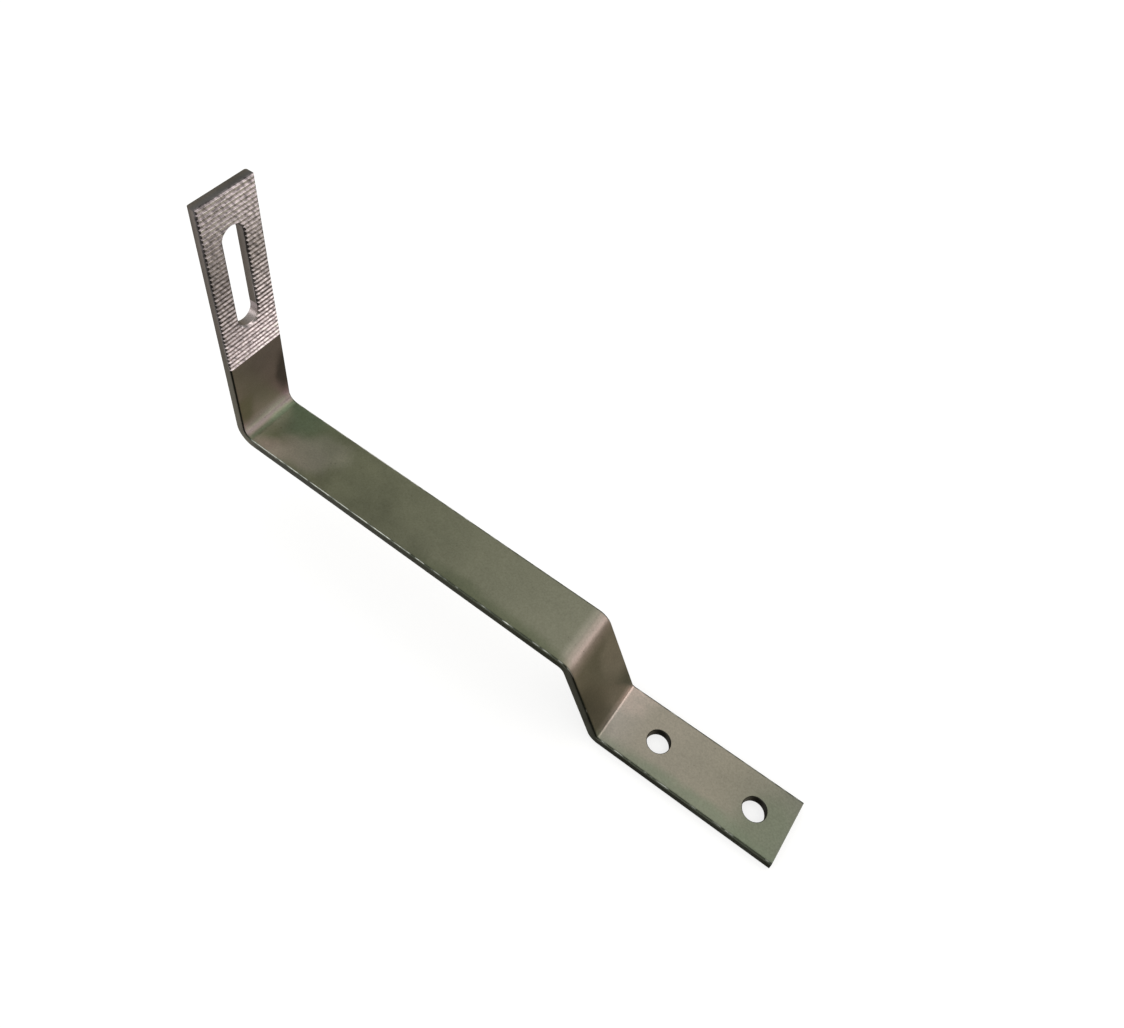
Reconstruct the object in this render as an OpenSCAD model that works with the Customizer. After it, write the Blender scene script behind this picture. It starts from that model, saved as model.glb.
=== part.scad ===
// Tile roof hook for a solar panel rail.
// One flat stainless steel bar is punched, serrated and bent three times, so it is one piece.
// The foot is screwed down to a rafter, the riser lifts the arm clear of the tile below,
// the arm passes out over that tile, and the upright tab carries the rail.
// All sizes are in millimetres and degrees. The origin is on the underside of the foot,
// midway between the two screw holes. X runs along the bar to the foot's free end,
// Y runs across the bar and Z is up from the rafter.

/* [Bar] */
// Width of the flat bar
bar_w = 30; // [24:1:60]
// Thickness of the flat bar
bar_t = 5; // [4:0.5:8]
// Radius of the rolled long edges of the bar
edge_r = 1; // [0.3:0.1:1.4]

/* [Foot] */
// Length of the foot, from the corner with the riser to the free end
foot_len = 81.5; // [75:0.5:140]
// Diameter of the two screw holes
hole_d = 10; // [5:0.5:14]
// Distance between the centres of the screw holes
hole_pitch = 45; // [25:0.5:50]
// Distance from the free end of the foot to the centre of the outer hole
hole_edge = 15; // [10:0.5:20]
// Width of the broken edge round each screw hole
hole_break = 0.3; // [0.1:0.1:1]
// Inside radius of the bend between the foot and the riser
foot_bend_r = 1.5; // [1:0.5:5]

/* [Riser] */
// Height of the arm over the foot, measured at the riser
riser_rise = 40.5; // [25:0.5:80]
// Lean of the riser from upright
riser_lean = 25; // [10:1:40]

/* [Arm] */
// Length of the arm, from its corner with the riser to its corner with the tab
arm_len = 182; // [100:1:260]
// Slope of the arm, which goes on rising from the riser to the tab
arm_slope = 1.5; // [0:0.5:5]
// Inside radius of the bend between the riser and the arm
arm_bend_r = 3; // [1:0.5:6]

/* [Tab] */
// Height of the tab, from its corner with the arm to its top
tab_len = 133; // [110:1:180]
// Lean of the tab from upright, away from the foot
tab_lean = 0; // [0:0.5:8]
// Inside radius of the bend between the arm and the tab
tab_bend_r = 4.5; // [2:0.5:8]
// Width of the slot for the rail bolt
slot_w = 11; // [7:0.5:14]
// Length of the slot, from end to end
slot_len = 53.5; // [30:0.5:66]
// Distance from the top of the tab to the top of the slot
slot_top = 17; // [10:0.5:24]
// Width of the sloping break that the punch leaves round the slot, on the serrated face
slot_break = 0.8; // [0.1:0.1:1.5]

/* [Serration] */
// Number of grooves across the face of the tab
groove_count = 39; // [20:1:43]
// Distance from the top of the tab to the middle of the first groove, which the end cuts through
groove_start = 0.2; // [0:0.1:2]
// Distance between one groove and the next
groove_pitch = 2.3; // [1.6:0.1:2.5]
// Depth of a groove
groove_depth = 0.6; // [0.3:0.1:1.2]
// Width of the flat land left between one groove and the next
ridge_land = 1.1; // [0.2:0.1:1.4]

/* [Hidden] */
$fn = 96;

// How far a cutter runs past the surface that it cuts
over = 1;

// Scale at which the runs and bends are joined end to end. The joined bar is then enlarged
// to full size, so the rounding of the turned pieces is too small to leave a seam in it.
joint_scale = 0.01;

// Angles that the bar turns through on its way from the foot to the tab:
// more than 0 where it turns up, and less where it turns down
foot_turn = 90 - riser_lean;
arm_turn = arm_slope - foot_turn;
tab_turn = 90 - tab_lean - arm_slope;

// Radius of a bend at the upper face of the bar: its inside radius where the bar turns up,
// and its outside radius where the bar turns down
function face_r(turn, inside_r) = turn > 0 ? inside_r : inside_r + bar_t;

// Length that a bend takes from the straight runs on both sides of its corner
function setback(turn, inside_r) = face_r(turn, inside_r) * tan(abs(turn) / 2);

foot_setback = setback(foot_turn, foot_bend_r);
arm_setback = setback(arm_turn, arm_bend_r);
tab_setback = setback(tab_turn, tab_bend_r);

// Straight length of each run between its bends
foot_run = foot_len - foot_setback;
riser_run = riser_rise / cos(riser_lean) - foot_setback - arm_setback;
arm_run = arm_len - arm_setback - tab_setback;
tab_run = tab_len - tab_setback;

// Section of the rolled bar: X through the thickness from 0, and Y across the width
module bar_section() {
    translate([0, edge_r - bar_w / 2])
        square([bar_t, bar_w - 2 * edge_r]);
    translate([edge_r, -bar_w / 2])
        square([bar_t - 2 * edge_r, bar_w]);
    for (x = [edge_r, bar_t - edge_r], side = [-1, 1])
        translate([x, side * (bar_w / 2 - edge_r)])
            circle(r = edge_r);
}

// Straight run along X, with its upper face at Z 0
module straight(length) {
    rotate([0, 90, 0])
        linear_extrude(length)
            bar_section();
}

// Part of a bend whose axis is the Y axis, from the angle first above X on through sweep
module arc(inside_r, first, sweep) {
    rotate([90, 0, 0])
        rotate_extrude(start = first, angle = sweep)
            translate([inside_r, 0])
                bar_section();
}

// Bend at the end of a run. What follows it goes on in the new direction.
module bend(turn, inside_r) {
    axis_z = sign(turn) * face_r(turn, inside_r) * joint_scale;
    first = turn > 0 ? -90 : 90 + turn;
    translate([0, 0, axis_z]) {
        scale(joint_scale)
            arc(inside_r, first, abs(turn));
        rotate([0, -turn, 0])
            translate([0, 0, -axis_z])
                children();
    }
}

// Foot, from its free end, with two punched screw holes
module foot() {
    scale(joint_scale)
        difference() {
            straight(foot_run);
            for (x = [hole_edge, hole_edge + hole_pitch])
                translate([x, 0, -bar_t / 2])
                    screw_hole();
        }
    translate([foot_run * joint_scale, 0, 0])
        children();
}

// One screw hole, centred in the thickness of the bar, with its edge broken on both faces
module screw_hole() {
    cylinder(d = hole_d, h = bar_t + 2 * over, center = true);
    for (face = [0, 1])
        mirror([0, 0, face])
            translate([0, 0, bar_t / 2 - hole_break])
                cylinder(r1 = hole_d / 2, r2 = hole_d / 2 + hole_break + over, h = hole_break + over);
}

// Riser, plain
module riser() {
    scale(joint_scale)
        straight(riser_run);
    translate([riser_run * joint_scale, 0, 0])
        children();
}

// Arm, plain
module arm() {
    scale(joint_scale)
        straight(arm_run);
    translate([arm_run * joint_scale, 0, 0])
        children();
}

// Tab, with the slot for the rail bolt and with grooves across its face, both set out from its top
module tab() {
    scale(joint_scale)
        difference() {
            straight(tab_run);
            translate([tab_run, 0, 0]) {
                rail_slot();
                for (i = [0 : groove_count - 1])
                    translate([-groove_start - i * groove_pitch, 0, 0])
                        groove();
            }
        }
}

// Slot with round ends, below the top of the tab, with its edge broken on the serrated face
module rail_slot() {
    half_w = slot_w / 2;
    first = -slot_top - half_w;
    last = -slot_top - slot_len + half_w;
    rise = slot_break + over;
    for (x = [first, last])
        translate([x, 0, 0]) {
            translate([0, 0, -bar_t - over])
                cylinder(r = half_w, h = bar_t + 2 * over);
            translate([0, 0, -slot_break])
                cylinder(r1 = half_w, r2 = half_w + rise, h = rise);
        }
    translate([last, 0, 0])
        rotate([90, 0, 90])
            linear_extrude(first - last) {
                translate([-half_w, -bar_t - over])
                    square([slot_w, bar_t + 2 * over]);
                polygon([[-half_w, -slot_break], [-half_w - rise, over],
                    [half_w + rise, over], [half_w, -slot_break]]);
            }
}

// One V groove across the bar
module groove() {
    half_w = (groove_pitch - ridge_land) / 2;
    spread = half_w * (1 + over / groove_depth);
    translate([0, bar_w / 2 + over, 0])
        rotate([90, 0, 0])
            linear_extrude(bar_w + 2 * over)
                polygon([[-spread, over], [0, -groove_depth], [spread, over]]);
}

// The whole hook, laid out from the free end of the foot to the top of the tab
module roof_hook() {
    color("#8d887b")
        translate([hole_pitch / 2 + hole_edge, 0, bar_t])
            rotate([0, 0, 180])
                scale(1 / joint_scale)
                    foot()
                        bend(foot_turn, foot_bend_r)
                            riser()
                                bend(arm_turn, arm_bend_r)
                                    arm()
                                        bend(tab_turn, tab_bend_r)
                                            tab();
}

roof_hook();
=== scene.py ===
# Finish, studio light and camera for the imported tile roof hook.
import bmesh
import bpy
from math import cos, pi, radians, sin
from mathutils import Matrix, Vector

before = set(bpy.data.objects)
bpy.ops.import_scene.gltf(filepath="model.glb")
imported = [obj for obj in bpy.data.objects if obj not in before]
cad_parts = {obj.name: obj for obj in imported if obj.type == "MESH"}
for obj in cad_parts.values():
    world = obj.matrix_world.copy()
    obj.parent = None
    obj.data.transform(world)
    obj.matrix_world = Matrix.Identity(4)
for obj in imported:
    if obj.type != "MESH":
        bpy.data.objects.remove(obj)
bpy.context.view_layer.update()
mm = 0.001
mixFactor, mixA, mixB, mixResult = 0, 6, 7, 2  # sockets of a colour mix, whose names aren't unique
print("frame loaded")


def linearRgb(hexColour):  # sRGB hex to the linear colour that the renderer works in
    parts = [int(hexColour[i:i + 2], 16) / 255 for i in (1, 3, 5)]
    return tuple(p / 12.92 if p <= 0.04045 else ((p + 0.055) / 1.055) ** 2.4 for p in parts) + (1.0,)


def addNode(tree, kind, settings=None, inputs=None):  # a node, its settings and what feeds its sockets
    node = tree.nodes.new(kind)
    for name, value in (settings or {}).items():
        setattr(node, name, value)
    for key, value in (inputs or {}).items():
        if isinstance(value, bpy.types.NodeSocket):
            tree.links.new(value, node.inputs[key])
        else:
            node.inputs[key].default_value = value
    return node


def fillRamp(ramp, stops):  # stops are (place, hex colour), and the outer places are the ramp's ends
    first, last = stops[0][0], stops[-1][0]
    while len(ramp.elements) > 1:
        ramp.elements.remove(ramp.elements[-1])
    ramp.elements[0].position = 0.0
    ramp.elements[0].color = linearRgb(stops[0][1])
    for place, hexColour in stops[1:]:
        element = ramp.elements.new((place - first) / (last - first))
        element.color = linearRgb(hexColour)


# Stainless steel flat bar, hot-rolled and pickled. The pickle leaves a dull satin skin that
# leans olive or pink from place to place, so reflections are broad and soft. The long sides
# and rounded edges carry painted shade, with painted glints in places. The pressed groove
# walls are bright metal with painted highlight, and some bends carry painted highlights too.
steel = {
    "alongTint": (                      # mm along X, and the skin's tint there, with painted highlights on the bends
        (-248.0, "#9a928a"),            # the tab's back
        (-245.0, "#6c6a61"),
        (-239.0, "#8b9b7c"),
        (-205.0, "#989a82"),
        (-70.0, "#9c9c8b"),
        (-67.7, "#b7b3a5"),
        (-64.2, "#9b948d"),
        (-62.4, "#dfcfc8"),             # painted highlight over the riser's bend
        (-59.7, "#969280"),
        (-45.3, "#78796b"),
        (-43.8, "#c8c1ba"),             # and painted highlight in the foot's crease
        (-30.0, "#b9b2a6"),
        (8.0, "#aca799"),
        (38.0, "#8d9084"),
    ),
    "tabTint": (                        # mm up Z on the tab, with a painted highlight in its bend
        (50.5, "#7b756c"),
        (51.5, "#928a86"),
        (53.0, "#f5e7ed"),              # painted highlight in the bend with the arm
        (55.0, "#f1dfea"),
        (57.0, "#d3bac7"),
        (60.0, "#b5a0a2"),
        (72.0, "#938681"),
        (90.0, "#8c837f"),
        (110.0, "#a39b92"),
        (182.5, "#bfb7b2"),
        (183.1, "#949193"),             # the sheared end
    ),
    "tabX": (-241.5, -244.0),           # mm, from the arm's tint to the tab's
    "backX": (-247.0, -248.5),          # mm, from the tab's tint to the plain back
    "backShare": 0.25,                  # of the tab's tint that the back keeps
    "wobble": 9.0,                      # mm that the outlines of the stain marks and of the painted light and shade wander
    "stainFade": 0.6,                   # of a stain's reach, over which it comes to full strength
    "stainsAndPaintedLight": (                         # middle mm, reach mm, tint, strength
        ((-236, 9, 48), (20, 24, 5), "#93a389", 0.85),      # green where the arm meets the tab
        ((-229, -14, 48), (14, 10, 6.5), "#cdc8bb", 0.80),  # pink beside it, slanting to the far side
        ((-217, -5, 50), (18, 12, 9), "#cac5b7", 0.80),
        ((-208, 4, 50), (16, 10, 9), "#c8c4b5", 0.55),
        ((-245, 14, 71), (6, 7, 17), "#58534f", 0.85),      # painted shade up the tab's far edge
        ((-245, -13, 66), (6, 9, 12), "#7d7862", 0.70),     # olive up its near edge
        ((-41, 12, 2.2), (19, 15, 5.5), "#f2dcd3", 1.00),   # painted highlight where the foot starts
        ((-50, -13, 18), (14, 15, 26), "#5e5d4b", 0.65),    # painted shade at the foot of the riser, on its near side
        ((-55, 12, 28), (14, 14, 20), "#c9c0b2", 0.45),     # and painted highlight on its far side
        ((-100, -16, 48), (66, 9, 8), "#798068", 0.75),     # darker and olive along the arm's near edge
        ((-3, -16, 5), (75, 9, 5), "#8f9d88", 0.65),        # green along the foot's near side
        ((30, -4, 5), (16, 20, 5), "#85907c", 0.60),        # and round its free end
    ),
    "patchSize": 22.0,                  # mm across one patch of the pickled skin
    "patchShade": (0.86, 1.12),         # darkest and brightest patch
    "grainSize": 0.8,                   # mm, coarser than the real 0.1 mm grain so that it shows
    "grainShade": (0.90, 1.09),
    "grainDepth": 0.04,                 # mm
    "grainStrength": 0.35,
    "noiseRange": (0.3, 0.7),           # of a noise, spread over the shades and the roughness
    "speckSize": 1.6,                   # mm across dark specks of scale
    "speckRange": (0.62, 0.74),         # of their noise, from no speck to a full one
    "speckStrength": 0.6,
    "speckTint": "#55534a",
    "roughness": (0.28, 0.42),          # satin, smoother in some patches than in others
}
edge = {
    "sideTint": (                       # mm along X, and the painted shade's tint on the bar's long sides
        (-243.0, "#a09e90"),
        (-236.0, "#6b6d65"),
        (-68.0, "#676c5b"),
        (-62.0, "#989c8e"),
        (-49.0, "#989c8e"),
        (-44.0, "#70756a"),
        (38.0, "#70756a"),
    ),
    "sideFacing": (0.88, 0.98),         # how far a face looks sideways, from plain skin to the painted shade
    "skinZ": (112.0, 88.0),             # mm, where the sides' painted shade begins and where it is full
    "backZ": (85.0, 58.0),              # mm, the same for the painted shade and glints on the tab's back edges
    "slant": (0.62, 0.27),              # facing of the rounded edge, its middle and half its spread
    "upperFacing": (0.75, 0.55),        # and there, from no painted glints to full ones
    "dark": "#4b4f45",                  # painted shade on the rounded edge
    "bright": "#fcfff8",                # painted glint on that edge
    "glintSize": 4.5,                     # mm along one painted glint
    "glintRange": (0.62, 0.85),           # of the noise and the grey below together, from painted shade to painted glint
    "rubbed": (                         # mm along X, and how much of the edge carries a painted glint, as a grey
        (-242.0, "#101010"),
        (-238.0, "#989898"),
        (-180.0, "#989898"),
        (-130.0, "#666666"),
        (-46.0, "#3a3a3a"),
        (-38.0, "#5a5a5a"),
        (38.0, "#606060"),
    ),
}
serration = {
    "faceX": -244.823,                  # mm, the tab's face
    "frontDepth": (1.4, 1.1),           # mm behind the face, from the bar's skin to the pressed one
    "wallDepth": (0.02, 0.1),           # mm behind the face, from the lands to the groove walls
    "lowZ": (94.8, 95.0),               # mm, from the bar's skin to the pressed one
    "land": (                           # mm up Z; brighter at the foot and the top and duller by the slot, as painted highlight and shade
        (100.0, "#f8e8f6"),
        (121.0, "#a69da0"),
        (145.0, "#a9a3a4"),
        (176.0, "#fffaff"),
    ),
    "wall": (
        (100.0, "#f6f0f4"),
        (150.0, "#9b9897"),
        (176.0, "#bcb6bb"),
    ),
    "acrossY": (7.0, -7.0),             # mm, from the far side to the near side, where painted shade darkens it
    "nearShade": (0.90, 0.68),          # of the lands and of the walls there
    "tearSize": (1.0, 1.3, 3.5),        # mm of one torn streak, through, across and up the bar
    "tearLean": 35,                     # degrees that the streaks lean to the near side
    "tearRange": (0.32, 0.68),          # of their noise, spread over the shades
    "tearShade": (0.45, 1.5),
}
holes = {                               # the punched walls are darkened as painted shade
    "x": (-22.5, 22.5),                 # mm
    "reach": 5.2,                       # mm from the middle of a hole
    "wall": "#3a3a34",
}
slotFoot = {                            # painted highlight on the far half of its round wall
    "z": 118.3,                         # mm, middle of the round
    "reach": 5.8,                       # mm
    "y": (-2.5, 3.5),                   # mm, from the bar's skin to bright metal
    "wall": "#fff2f6",
}


def steelFinish():
    mat = bpy.data.materials.new("pickledStainlessSteel")
    mat.use_nodes = True
    tree = mat.node_tree
    tree.nodes.clear()
    place = addNode(tree, "ShaderNodeTexCoord")
    inMm = addNode(tree, "ShaderNodeVectorMath", {"operation": "SCALE"},
                   {0: place.outputs["Object"], "Scale": 1 / mm}).outputs[0]
    at = addNode(tree, "ShaderNodeSeparateXYZ", None, {0: inMm}).outputs
    facing = addNode(tree, "ShaderNodeSeparateXYZ", None, {0: place.outputs["Normal"]}).outputs
    patches = addNode(tree, "ShaderNodeTexNoise", None,
                      {"Vector": inMm, "Scale": 1 / steel["patchSize"], "Detail": 3.0,
                       "Roughness": 0.6})
    grain = addNode(tree, "ShaderNodeTexNoise", None,
                    {"Vector": inMm, "Scale": 1 / steel["grainSize"], "Detail": 2.0})

    # the skin's tint along the bar and up the tab with painted highlights on some bends, the painted
    # shade on the sides, and how much of the rounded edges carries a painted glint
    ramps = []
    for stops, axis in ((steel["alongTint"], "X"), (steel["tabTint"], "Z"),
                        (edge["sideTint"], "X"), (edge["rubbed"], "X")):
        span = addNode(tree, "ShaderNodeMapRange", None,
                       {"Value": at[axis], "From Min": stops[0][0], "From Max": stops[-1][0]})
        ramps.append(addNode(tree, "ShaderNodeValToRGB", None, {"Fac": span.outputs[0]}))
        fillRamp(ramps[-1].color_ramp, stops)
    alongTint, tabTint, sideTint, rubbing = [ramp.outputs[0] for ramp in ramps]
    onTab = addNode(tree, "ShaderNodeMapRange", {"interpolation_type": "SMOOTHSTEP"},
                    {"Value": at["X"], "From Min": steel["tabX"][0], "From Max": steel["tabX"][1]})
    share = addNode(tree, "ShaderNodeMapRange", None,
                    {"Value": at["X"], "From Min": steel["backX"][0], "From Max": steel["backX"][1],
                     "To Min": onTab.outputs[0], "To Max": steel["backShare"]})
    colour = addNode(tree, "ShaderNodeMix", {"data_type": "RGBA"},
                     {mixFactor: share.outputs[0], mixA: alongTint, mixB: tabTint}).outputs[mixResult]

    # stain marks, painted shade and painted highlights, with a wandering outline
    centred = addNode(tree, "ShaderNodeVectorMath", {"operation": "SUBTRACT"},
                      {0: patches.outputs["Color"], 1: (0.5, 0.5, 0.5)})
    wandering = addNode(tree, "ShaderNodeVectorMath", {"operation": "MULTIPLY_ADD"},
                        {0: centred.outputs[0], 1: [steel["wobble"]] * 3, 2: inMm})
    for middle, reach, tint, strength in steel["stainsAndPaintedLight"]:
        local = addNode(tree, "ShaderNodeMapping", {"vector_type": "TEXTURE"},
                        {"Vector": wandering.outputs[0], "Location": middle, "Scale": reach})
        ball = addNode(tree, "ShaderNodeTexGradient", {"gradient_type": "SPHERICAL"},
                       {"Vector": local.outputs[0]})
        share = addNode(tree, "ShaderNodeMapRange", {"interpolation_type": "SMOOTHSTEP"},
                        {"Value": ball.outputs["Fac"], "From Max": steel["stainFade"],
                         "To Max": strength})
        colour = addNode(tree, "ShaderNodeMix", {"data_type": "RGBA"},
                         {mixFactor: share.outputs[0], mixA: colour,
                          mixB: linearRgb(tint)}).outputs[mixResult]

    # specks of scale
    specks = addNode(tree, "ShaderNodeTexNoise", None,
                     {"Vector": inMm, "Scale": 1 / steel["speckSize"], "Detail": 4.0, "Roughness": 0.7})
    share = addNode(tree, "ShaderNodeMapRange", None,
                    {"Value": specks.outputs["Fac"], "From Min": steel["speckRange"][0],
                     "From Max": steel["speckRange"][1], "To Max": steel["speckStrength"]})
    colour = addNode(tree, "ShaderNodeMix", {"data_type": "RGBA"},
                     {mixFactor: share.outputs[0], mixA: colour,
                      mixB: linearRgb(steel["speckTint"])}).outputs[mixResult]

    # serrated face: lands and groove walls, both torn by the press, with painted highlight and shade
    tearAt = addNode(tree, "ShaderNodeMapping", {"vector_type": "TEXTURE"},
                     {"Vector": inMm, "Rotation": (radians(serration["tearLean"]), 0, 0),
                      "Scale": serration["tearSize"]})
    tears = addNode(tree, "ShaderNodeTexNoise", None,
                    {"Vector": tearAt.outputs[0], "Scale": 1.0, "Detail": 2.0})
    torn = addNode(tree, "ShaderNodeMapRange", None,
                   {"Value": tears.outputs["Fac"], "From Min": serration["tearRange"][0],
                    "From Max": serration["tearRange"][1], "To Min": serration["tearShade"][0],
                    "To Max": serration["tearShade"][1]})
    sunk, front = [
        addNode(tree, "ShaderNodeMapRange", None,
                {"Value": at["X"], "From Min": serration["faceX"] - depth[0],
                 "From Max": serration["faceX"] - depth[1]}).outputs[0]
        for depth in (serration["wallDepth"], serration["frontDepth"])]
    wanderingAt = addNode(tree, "ShaderNodeSeparateXYZ", None, {0: wandering.outputs[0]}).outputs
    pressed = []
    for stops, nearShade in zip((serration["land"], serration["wall"]), serration["nearShade"]):
        span = addNode(tree, "ShaderNodeMapRange", None,
                       {"Value": wanderingAt["Z"], "From Min": stops[0][0], "From Max": stops[-1][0]})
        ramp = addNode(tree, "ShaderNodeValToRGB", None, {"Fac": span.outputs[0]})
        fillRamp(ramp.color_ramp, stops)
        side = addNode(tree, "ShaderNodeMapRange", {"interpolation_type": "SMOOTHSTEP"},
                       {"Value": wanderingAt["Y"], "From Min": serration["acrossY"][0],
                        "From Max": serration["acrossY"][1], "To Min": 1.0, "To Max": nearShade})
        pressed.append(addNode(tree, "ShaderNodeVectorMath", {"operation": "SCALE"},
                               {0: ramp.outputs[0], "Scale": side.outputs[0]}).outputs[0])
    face = addNode(tree, "ShaderNodeMix", {"data_type": "RGBA"},
                   {mixFactor: sunk, mixA: pressed[0], mixB: pressed[1]}).outputs[mixResult]
    streaked = addNode(tree, "ShaderNodeVectorMath", {"operation": "SCALE"},
                       {0: face, "Scale": torn.outputs[0]})
    high = addNode(tree, "ShaderNodeMapRange", None,
                   {"Value": at["Z"], "From Min": serration["lowZ"][0],
                    "From Max": serration["lowZ"][1], "To Max": front})
    colour = addNode(tree, "ShaderNodeMix", {"data_type": "RGBA"},
                     {mixFactor: high.outputs[0], mixA: colour,
                      mixB: streaked.outputs[0]}).outputs[mixResult]

    # painted shade on the long sides, by how far they face sideways, except up the tab
    sideways = addNode(tree, "ShaderNodeMath", {"operation": "ABSOLUTE"}, {0: facing["Y"]}).outputs[0]
    low = addNode(tree, "ShaderNodeMapRange", None,
                  {"Value": at["Z"], "From Min": edge["skinZ"][0], "From Max": edge["skinZ"][1]})
    share = addNode(tree, "ShaderNodeMapRange", None,
                    {"Value": sideways, "From Min": edge["sideFacing"][0],
                     "From Max": edge["sideFacing"][1], "To Max": low.outputs[0]})
    colour = addNode(tree, "ShaderNodeMix", {"data_type": "RGBA"},
                     {mixFactor: share.outputs[0], mixA: colour, mixB: sideTint}).outputs[mixResult]

    # rounded edges: painted shade, with painted glints in places
    rubs = addNode(tree, "ShaderNodeTexNoise", None,
                   {"Vector": inMm, "Scale": 1 / edge["glintSize"], "Detail": 1.0})
    rubbed = addNode(tree, "ShaderNodeMath", {"operation": "ADD"}, {0: rubs.outputs["Fac"], 1: rubbing})
    spots = addNode(tree, "ShaderNodeMapRange", None,
                    {"Value": rubbed.outputs[0], "From Min": edge["glintRange"][0],
                     "From Max": edge["glintRange"][1]})
    upper = addNode(tree, "ShaderNodeMapRange", None,
                    {"Value": sideways, "From Min": edge["upperFacing"][0],
                     "From Max": edge["upperFacing"][1], "To Max": spots.outputs[0]})
    onEdge = addNode(tree, "ShaderNodeMix", {"data_type": "RGBA"},
                     {mixFactor: upper.outputs[0], mixA: linearRgb(edge["dark"]),
                      mixB: linearRgb(edge["bright"])}).outputs[mixResult]
    slant = addNode(tree, "ShaderNodeMath", {"operation": "COMPARE"},
                    {0: sideways, 1: edge["slant"][0], 2: edge["slant"][1]})
    behind = addNode(tree, "ShaderNodeMapRange", None,
                     {"Value": at["Z"], "From Min": edge["backZ"][0], "From Max": edge["backZ"][1]})
    scaled = addNode(tree, "ShaderNodeMath", {"operation": "MAXIMUM"}, {0: behind.outputs[0], 1: front})
    plain = addNode(tree, "ShaderNodeMath", {"operation": "LESS_THAN"},
                    {0: at["Z"], 1: serration["lowZ"][1]})
    below = addNode(tree, "ShaderNodeMath", {"operation": "MULTIPLY"},
                    {0: scaled.outputs[0], 1: plain.outputs[0]})
    share = addNode(tree, "ShaderNodeMath", {"operation": "MULTIPLY"},
                    {0: slant.outputs[0], 1: below.outputs[0]})
    colour = addNode(tree, "ShaderNodeMix", {"data_type": "RGBA"},
                     {mixFactor: share.outputs[0], mixA: colour, mixB: onEdge}).outputs[mixResult]

    # painted shade on the punched walls of the screw holes
    for x in holes["x"]:
        flat = addNode(tree, "ShaderNodeVectorMath", {"operation": "MULTIPLY_ADD"},
                       {0: inMm, 1: (1, 1, 0), 2: (-x, 0, 0)})
        away = addNode(tree, "ShaderNodeVectorMath", {"operation": "LENGTH"}, {0: flat.outputs[0]})
        share = addNode(tree, "ShaderNodeMath", {"operation": "LESS_THAN"},
                        {0: away.outputs["Value"], 1: holes["reach"]})
        colour = addNode(tree, "ShaderNodeMix", {"data_type": "RGBA"},
                         {mixFactor: share.outputs[0], mixA: colour,
                          mixB: linearRgb(holes["wall"])}).outputs[mixResult]

    # painted highlight on the far half of the slot's round foot
    flat = addNode(tree, "ShaderNodeVectorMath", {"operation": "MULTIPLY_ADD"},
                   {0: inMm, 1: (0, 1, 1), 2: (0, 0, -slotFoot["z"])})
    away = addNode(tree, "ShaderNodeVectorMath", {"operation": "LENGTH"}, {0: flat.outputs[0]})
    inside = addNode(tree, "ShaderNodeMath", {"operation": "LESS_THAN"},
                     {0: away.outputs["Value"], 1: slotFoot["reach"]})
    share = addNode(tree, "ShaderNodeMapRange", None,
                    {"Value": at["Y"], "From Min": slotFoot["y"][0], "From Max": slotFoot["y"][1],
                     "To Max": inside.outputs[0]})
    colour = addNode(tree, "ShaderNodeMix", {"data_type": "RGBA"},
                     {mixFactor: share.outputs[0], mixA: colour,
                      mixB: linearRgb(slotFoot["wall"])}).outputs[mixResult]

    # light and dark patches over all, then the grain
    for noise, shades in ((patches, steel["patchShade"]), (grain, steel["grainShade"])):
        shade = addNode(tree, "ShaderNodeMapRange", None,
                        {"Value": noise.outputs["Fac"], "From Min": steel["noiseRange"][0],
                         "From Max": steel["noiseRange"][1], "To Min": shades[0], "To Max": shades[1]})
        colour = addNode(tree, "ShaderNodeVectorMath", {"operation": "SCALE"},
                         {0: colour, "Scale": shade.outputs[0]}).outputs[0]
    rough = addNode(tree, "ShaderNodeMapRange", None,
                    {"Value": patches.outputs["Fac"], "From Min": steel["noiseRange"][0],
                     "From Max": steel["noiseRange"][1], "To Min": steel["roughness"][0],
                     "To Max": steel["roughness"][1]})
    bump = addNode(tree, "ShaderNodeBump", None,
                   {"Strength": steel["grainStrength"], "Distance": steel["grainDepth"] * mm,
                    "Height": grain.outputs["Fac"]})
    skin = addNode(tree, "ShaderNodeBsdfPrincipled", None,
                   {"Base Color": colour, "Metallic": 1.0, "Roughness": rough.outputs[0],
                    "Normal": bump.outputs[0]})
    addNode(tree, "ShaderNodeOutputMaterial", None, {"Surface": skin.outputs[0]})
    return mat


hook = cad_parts["roof_hook"]
hook.data.materials.clear()
hook.data.materials.append(steelFinish())
print("steel finish on", hook.name)


# Matte white paper over a light table, so that the shadows stay faint
paper = {
    "half": 3.0,                        # m, half the sheet's width
    "drop": 0.2,                        # mm below the foot
    "colour": "#8e8e8c",
    "roughness": 0.9,
    "glow": 0.74,                       # of the light table, through the paper
}

sheetMesh = bpy.data.meshes.new("paperSheet")
shape = bmesh.new()
bmesh.ops.create_grid(shape, x_segments=1, y_segments=1, size=paper["half"])
shape.to_mesh(sheetMesh)
shape.free()
floor = bpy.data.objects.new("paperSheet", sheetMesh)
floor.location.z = -paper["drop"] * mm
bpy.context.scene.collection.objects.link(floor)
matte = bpy.data.materials.new("matteWhitePaper")
matte.use_nodes = True
matte.node_tree.nodes.clear()
fibre = addNode(matte.node_tree, "ShaderNodeBsdfPrincipled", None,
                {"Base Color": linearRgb(paper["colour"]), "Roughness": paper["roughness"],
                 "Emission Color": (1, 1, 1, 1), "Emission Strength": paper["glow"]})
addNode(matte.node_tree, "ShaderNodeOutputMaterial", None, {"Surface": fibre.outputs[0]})
sheetMesh.materials.append(matte)
floor.visible_glossy = False  # the steel reflects the dim room and not the paper
print("paper laid")


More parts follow.
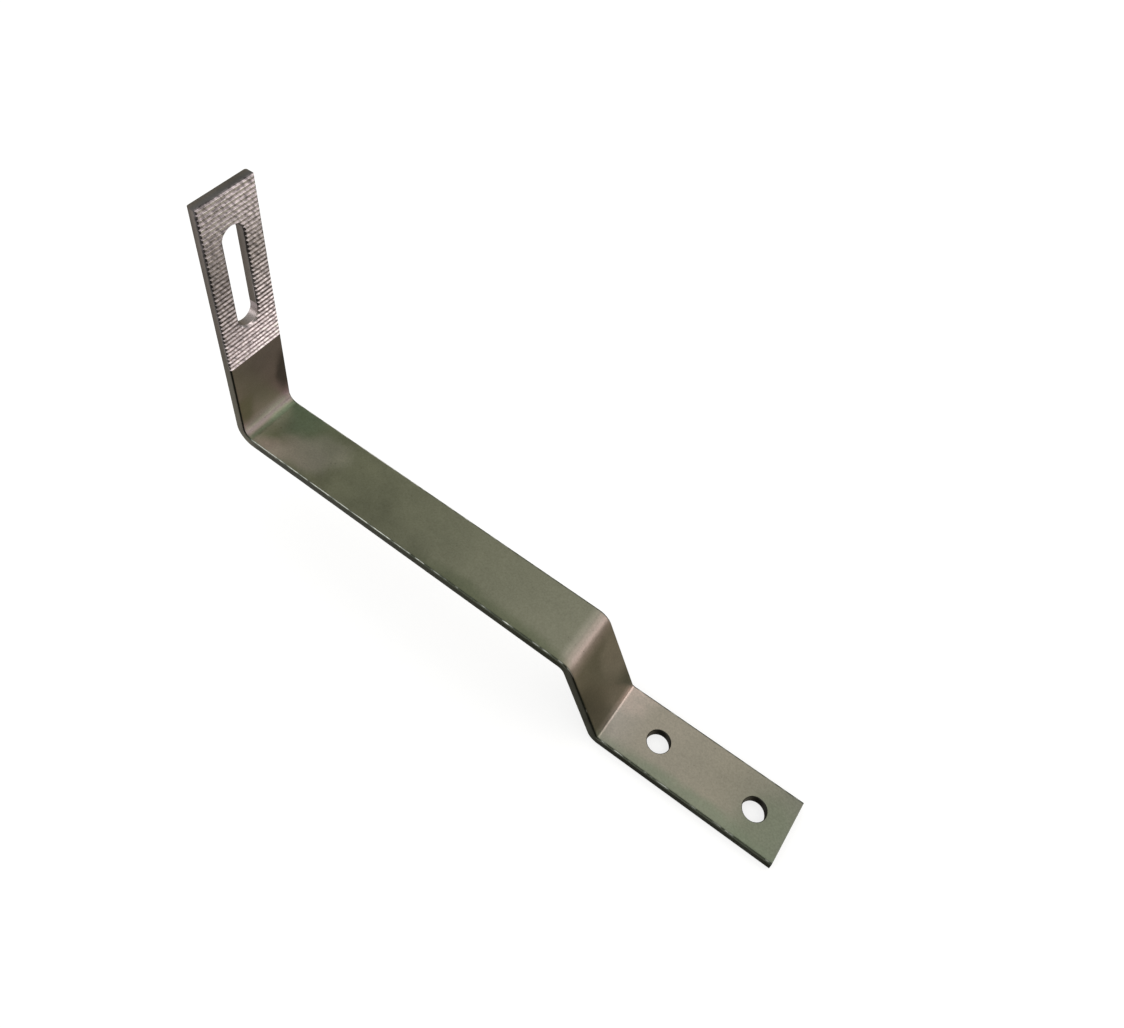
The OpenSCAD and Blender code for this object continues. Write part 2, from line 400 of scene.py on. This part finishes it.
# Three softboxes: azimuth from +X, elevation, distance m, width m, brightness, colour
softboxes = {
    "rightSoftbox": (38, 40, 1.2, 0.95, 1.12, "#fff2ee"),
    "topSoftbox": (92, 66, 1.4, 0.8, 0.50, "#fdfcf6"),
    "edgeSoftbox": (-105, 28, 1.2, 1.1, 0.95, "#ffffff"),
}
room = {
    "tint": (                           # sine of the elevation, and what the steel sees there
        (-1.0, "#66625b"),
        (-0.85, "#2a2622"),
        (-0.60, "#2b2721"),
        (-0.10, "#5a5248"),
        (0.10, "#a39e93"),
        (0.40, "#9c998e"),
        (0.60, "#82827a"),
        (1.0, "#8a8a82"),
    ),
    "glows": (                          # azimuth, elevation, reach in degrees, colour
        (32, -38, 52, "#958e80"),       # warm bounce on the riser's and the tab's faces
        (-148, -42, 34, "#94908c"),     # cool bounce on the tab's near side
        (-90, 0, 42, "#b4b3ad"),        # wall along the hook's near side
        (180, 4, 48, "#b4b3ad"),        # wall behind the tab
        (90, 0, 42, "#b4b3ad"),         # wall along the far side
    ),
    "pale": "#ffffff",                  # what the camera and the paper see
}


def towards(azimuth, elevation):  # unit vector from the hook
    a, e = radians(azimuth), radians(elevation)
    return Vector((cos(e) * cos(a), cos(e) * sin(a), sin(e)))


aim = Vector((-0.1, 0.0, 0.06))  # m, near the middle of the hook
for name, (azimuth, elevation, far, width, brightness, tint) in softboxes.items():
    lamp = bpy.data.lights.new(name, "AREA")
    lamp.shape = "DISK"
    lamp.size = width
    lamp.energy = brightness * (pi * width / 2) ** 2  # watts that give a disk this brightness
    lamp.color = linearRgb(tint)[:3]
    holder = bpy.data.objects.new(name, lamp)
    bpy.context.scene.collection.objects.link(holder)
    holder.location = aim + towards(azimuth, elevation) * far
    holder.rotation_euler = towards(azimuth, elevation).to_track_quat("Z", "Y").to_euler()

world = bpy.data.worlds.new("studioRoom")
bpy.context.scene.world = world
world.use_nodes = True
worldTree = world.node_tree
worldTree.nodes.clear()
way = addNode(worldTree, "ShaderNodeTexCoord").outputs["Object"]
height = addNode(worldTree, "ShaderNodeSeparateXYZ", None, {0: way})
rise = addNode(worldTree, "ShaderNodeMapRange", None,
               {"Value": height.outputs["Z"], "From Min": room["tint"][0][0],
                "From Max": room["tint"][-1][0]})
walls = addNode(worldTree, "ShaderNodeValToRGB", None, {"Fac": rise.outputs[0]})
fillRamp(walls.color_ramp, room["tint"])
colour = walls.outputs[0]
for azimuth, elevation, reach, tint in room["glows"]:
    near = addNode(worldTree, "ShaderNodeVectorMath", {"operation": "DOT_PRODUCT"},
                   {0: way, 1: towards(azimuth, elevation)})
    share = addNode(worldTree, "ShaderNodeMapRange", {"interpolation_type": "SMOOTHSTEP"},
                    {"Value": near.outputs["Value"], "From Min": cos(radians(reach)),
                     "From Max": cos(radians(reach / 3))})  # full within a third of its reach
    colour = addNode(worldTree, "ShaderNodeMix", {"data_type": "RGBA"},
                     {mixFactor: share.outputs[0], mixA: colour,
                      mixB: linearRgb(tint)}).outputs[mixResult]
ray = addNode(worldTree, "ShaderNodeLightPath")
pale = addNode(worldTree, "ShaderNodeBackground", None,
               {"Color": linearRgb(room["pale"]), "Strength": 1.0})
dim = addNode(worldTree, "ShaderNodeBackground", None, {"Color": colour, "Strength": 1.0})
pick = addNode(worldTree, "ShaderNodeMixShader", None,
               {0: ray.outputs["Is Glossy Ray"], 1: pale.outputs[0], 2: dim.outputs[0]})
addNode(worldTree, "ShaderNodeOutputWorld", None, {"Surface": pick.outputs[0]})
print("light set")


# Camera from a fit of the bar's edges to the photograph
view = {
    "width": 1124, "height": 1028,      # pixels
    "focal": 1008.94,                   # pixels
    "centre": (493.95, 361.29),         # pixels, where the lens axis meets the picture
    "place": (8.65, -187.42, 423.62),   # mm
    "right": (0.79945, 0.59921, 0.04287),
    "down": (0.46579, -0.57322, -0.67414),
    "sensor": 36.0,                     # mm
    "clip": 0.01,                       # m
}
lens = bpy.data.cameras.new("photoCamera")
lens.sensor_width = view["sensor"]
lens.lens = view["focal"] / view["width"] * lens.sensor_width
lens.shift_x = (view["width"] / 2 - view["centre"][0]) / view["width"]
lens.shift_y = -(view["height"] / 2 - view["centre"][1]) / view["width"]
lens.clip_start = view["clip"]
camera = bpy.data.objects.new("photoCamera", lens)
bpy.context.scene.collection.objects.link(camera)
right = Vector(view["right"]).normalized()
down = Vector(view["down"])
up = -(down - right * down.dot(right)).normalized()
turn = Matrix((right, up, right.cross(up))).transposed()
camera.matrix_world = Matrix.Translation(Vector(view["place"]) * mm) @ turn.to_4x4()
bpy.context.scene.camera = camera
bpy.context.scene.view_settings.view_transform = "Standard"
print("camera set")
